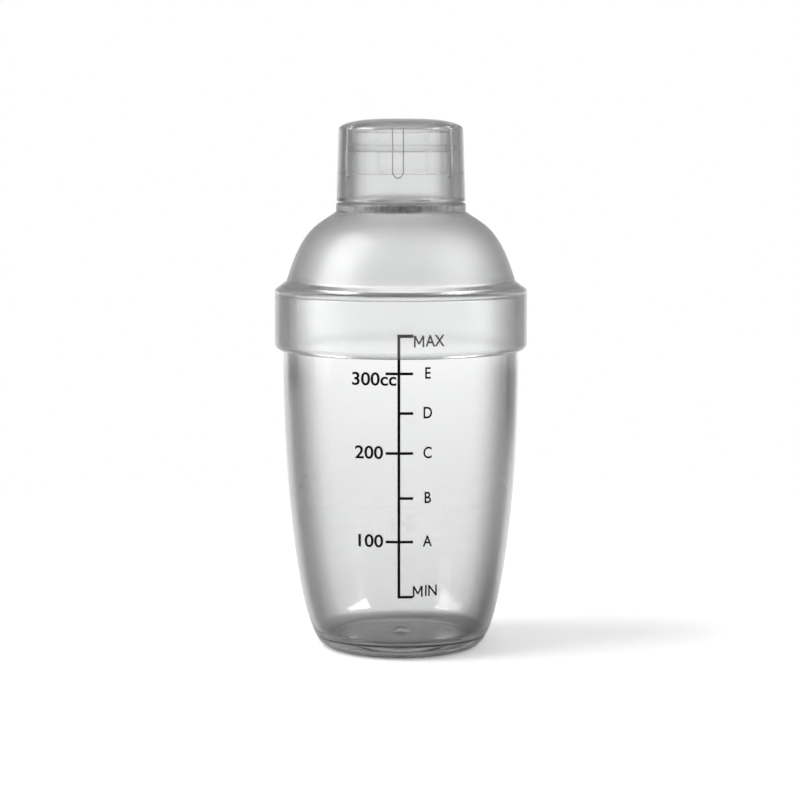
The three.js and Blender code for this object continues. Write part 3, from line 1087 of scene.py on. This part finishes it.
def glow_mask(tree, direction, azimuth, elevation, width, height, softness):
    """A soft-edged window of light in the sky, at a bearing from the front and above level."""
    turn = math.radians(azimuth)
    lift = math.radians(elevation)
    across = (math.cos(turn), math.sin(turn), 0)
    ahead = (
        math.sin(turn) * math.cos(lift),
        -math.cos(turn) * math.cos(lift),
        math.sin(lift),
    )
    up = (
        -math.sin(turn) * math.sin(lift),
        math.cos(turn) * math.sin(lift),
        math.cos(lift),
    )
    reach = []
    for axis in (across, up, ahead):
        dot = tree.nodes.new("ShaderNodeVectorMath")
        dot.operation = "DOT_PRODUCT"
        dot.inputs[1].default_value = axis
        tree.links.new(direction, dot.inputs[0])
        reach.append(dot.outputs["Value"])
    forward = maths(tree, "MAXIMUM", reach[2], LEAST_AHEAD)
    share = 1.0
    for sideways, half in zip(reach, (width, height)):
        edge = math.tan(math.radians(half))
        soft = math.tan(math.radians(half + softness))
        offset = maths(tree, "ABSOLUTE", maths(tree, "DIVIDE", sideways, forward))
        fade = ranged(tree, offset, soft, edge, kind="SMOOTHSTEP")
        share = maths(tree, "MULTIPLY", fade, share)
    return share


def card_light(tree, direction, cards):
    """The windows, cards or flags of one list, added together."""
    light = 0.0
    for *shape, strength in cards:
        card = maths(tree, "MULTIPLY", glow_mask(tree, direction, *shape), strength)
        light = maths(tree, "ADD", card, light)
    return light


def studio_light(tree, direction, through):
    """All windows and cards, by whether a ray comes through the plastic."""
    outside = maths(tree, "SUBTRACT", 1.0, through)
    light = card_light(tree, direction, WINDOWS)
    for cards, seen in ((SIDE_CARDS, outside), (HIGH_CARDS, through)):
        part = maths(tree, "MULTIPLY", card_light(tree, direction, cards), seen)
        light = maths(tree, "ADD", light, part)
    return light


def surroundings(tree, direction, glossy, through):
    """A backdrop with a dimmer ceiling and flags for the plastic, and an even light for the rest."""
    parts = add(tree, "ShaderNodeSeparateXYZ")
    tree.links.new(direction, parts.inputs["Vector"])
    low = math.sin(math.radians(CEILING_FROM))
    high = math.sin(math.radians(CEILING_TO))
    dim = ranged(tree, parts.outputs["Z"], low, high, BACKDROP, CEILING, "SMOOTHSTEP")
    front = ranged(tree, parts.outputs["Y"], FRONT_FROM, FRONT_TO, FRONT_SHADE, kind="SMOOTHSTEP")
    unflagged = maths(tree, "SUBTRACT", 1.0, card_light(tree, direction, FLAGS))
    shade = maths(tree, "MULTIPLY", maths(tree, "MAXIMUM", front, through), unflagged)
    base = add(tree, "ShaderNodeMapRange", To_Min=AMBIENT)
    tree.links.new(glossy, base.inputs["Value"])
    tree.links.new(maths(tree, "MULTIPLY", dim, shade), base.inputs["To Max"])
    return base.outputs["Result"]


def studio_world():
    """Plain white for the camera; light and surroundings for everything else."""
    world = bpy.data.worlds.new("studio")
    bpy.context.scene.world = world
    world.use_nodes = True
    tree = world.node_tree
    tree.nodes.clear()
    direction = add(tree, "ShaderNodeTexCoord").outputs["Generated"]
    rays = add(tree, "ShaderNodeLightPath").outputs
    through = rays["Is Transmission Ray"]
    light = studio_light(tree, direction, through)
    base = surroundings(tree, direction, rays["Is Glossy Ray"], through)
    lit = add(tree, "ShaderNodeBackground", Color=WHITE)
    tree.links.new(maths(tree, "ADD", light, base), lit.inputs["Strength"])
    seen = add(tree, "ShaderNodeBackground", Color=WHITE, Strength=1.0)
    backgrounds = (lit.outputs["Background"], seen.outputs["Background"])
    output = add(tree, "ShaderNodeOutputWorld")
    tree.links.new(mixed(tree, rays["Is Camera Ray"], *backgrounds), output.inputs["Surface"])


def floor_material():
    """Pale and matt, fading out into the white around it."""
    material, tree = new_material("studio_floor")
    link = tree.links.new
    place = add(tree, "ShaderNodeTexCoord").outputs["Object"]
    reach = tree.nodes.new("ShaderNodeVectorMath")
    reach.operation = "LENGTH"
    link(place, reach.inputs[0])
    fade = ranged(tree, reach.outputs["Value"], *FLOOR_FADE, kind="SMOOTHSTEP")
    grain = add(tree, "ShaderNodeTexNoise", **FLOOR_GRAIN)
    link(place, grain.inputs["Vector"])
    matt = add(tree, "ShaderNodeBsdfDiffuse")
    link(two_tones(tree, grain.outputs["Fac"], FLOOR_TONES), matt.inputs["Color"])
    glow = add(tree, "ShaderNodeEmission", Color=WHITE, Strength=FLOOR_GLOW)
    lifted = add(tree, "ShaderNodeAddShader")
    link(matt.outputs["BSDF"], lifted.inputs[0])
    link(glow.outputs["Emission"], lifted.inputs[1])
    to_camera = add(tree, "ShaderNodeLightPath").outputs["Is Camera Ray"]
    shown = mixed(tree, to_camera, matt.outputs["BSDF"], lifted.outputs["Shader"])
    clear = add(tree, "ShaderNodeBsdfTransparent")
    output = add(tree, "ShaderNodeOutputMaterial")
    link(mixed(tree, fade, shown, clear.outputs["BSDF"]), output.inputs["Surface"])
    return material


def studio_floor():
    bpy.ops.object.select_all(action="DESELECT")
    bpy.ops.mesh.primitive_circle_add(
        vertices=FLOOR_STEPS, radius=FLOOR_RADIUS, fill_type="NGON", location=(0, 0, 0)
    )
    floor = bpy.context.object
    floor.name = "studio_floor"
    floor.data.materials.append(floor_material())


def studio():
    camera()
    studio_world()
    studio_floor()
    scene = bpy.context.scene
    scene.view_settings.view_transform = "Standard"
    scene.cycles.max_bounces = MOST_BOUNCES
    scene.cycles.transmission_bounces = MOST_BOUNCES
    scene.cycles.glossy_bounces = MOST_GLOSSY_BOUNCES


# Assembly


def shaker():
    cup_plastic = clear_plastic("cup_plastic", CUP_DENSITY, CUP_HAZE, CUP_PAINTED_SHADE_ZONES)
    lid_plastic = clear_plastic("lid_plastic", LID_DENSITY, LID_HAZE, LID_PAINTED_SHADE_ZONES, LID_BANDS)
    cap_plastic = clear_plastic("cap_plastic", CAP_DENSITY, CAP_HAZE, CAP_PAINTED_SHADE_ZONES)
    silicone = clear_silicone("clear_silicone")

    cup = turned("clear_cup", cup_outline())
    finish_piece(cup, cup_plastic, "cup", "cup")

    marks = measuring_scale(cup)
    dress(marks, printing_ink("printing_ink"))
    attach(marks, "cup")

    lid = turned("clear_strainer_lid", raised(strainer_lid_outline(), lid_seat))
    cut(lid, strainer_holes())
    finish_piece(lid, lid_plastic, "lid", "strainer_lid")

    gasket = turned("soft_lid_gasket", raised(gasket_outline(), lid_seat))
    finish_piece(gasket, silicone, "lid", "lid_gasket")

    middle = (ring_radius, ring_height + lid_seat)
    ring = turned("soft_neck_ring", round_arc(middle, RING_SECTION / 2, 0, 360, SECTION_STEPS))
    finish_piece(ring, silicone, "lid", "neck_ring")

    cap = turned("clear_cap", raised(cap_outline(), lid_seat + cap_seat))
    cut(cap, finger_grooves())
    finish_piece(cap, cap_plastic, "cap", "cap")


studio()
shaker()
